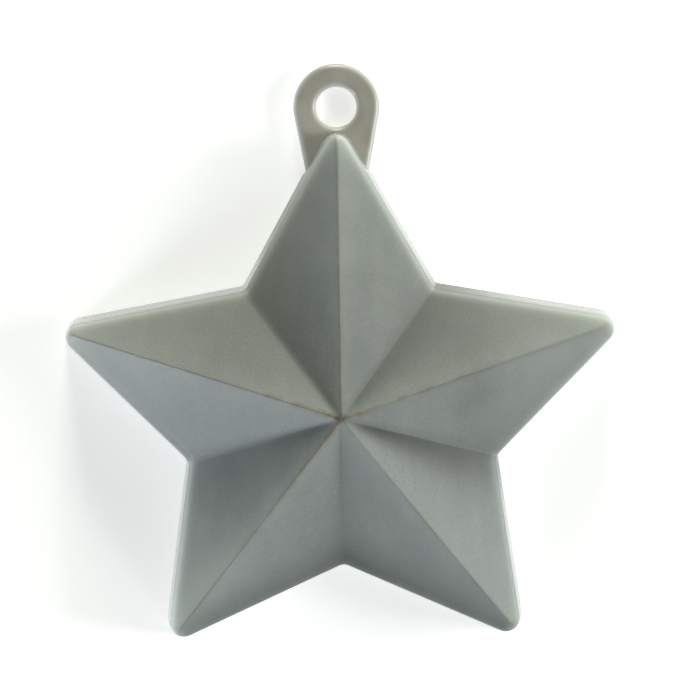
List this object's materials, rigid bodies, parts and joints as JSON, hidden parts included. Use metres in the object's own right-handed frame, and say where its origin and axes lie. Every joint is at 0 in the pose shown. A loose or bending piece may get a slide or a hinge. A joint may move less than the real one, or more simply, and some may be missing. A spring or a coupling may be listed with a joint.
{
  "type": "balloon weight",
  "caption": "Star-shaped balloon weight: a faceted hollow plastic shell around a cast ballast block, closed by a flat back cover with an eyelet tab for the ribbon.",
  "frame": {"origin": "centre of the back face, straight below the star's apex", "axes": "+Z out of the star's front, up when the weight lies on its back; +Y to the ribbon tab; +X to the right seen from the front"},
  "size_m": [0.0798, 0.0827, 0.024],
  "materials": {
    "shell_plastic": "satin",
    "cover_plastic": "satin",
    "ballast_mortar": "matte"
  },
  "bodies": {
    "root": {"front_shell": "shell_plastic", "back_cover": "cover_plastic", "ballast_block": "ballast_mortar"}
  },
  "joints": []
}
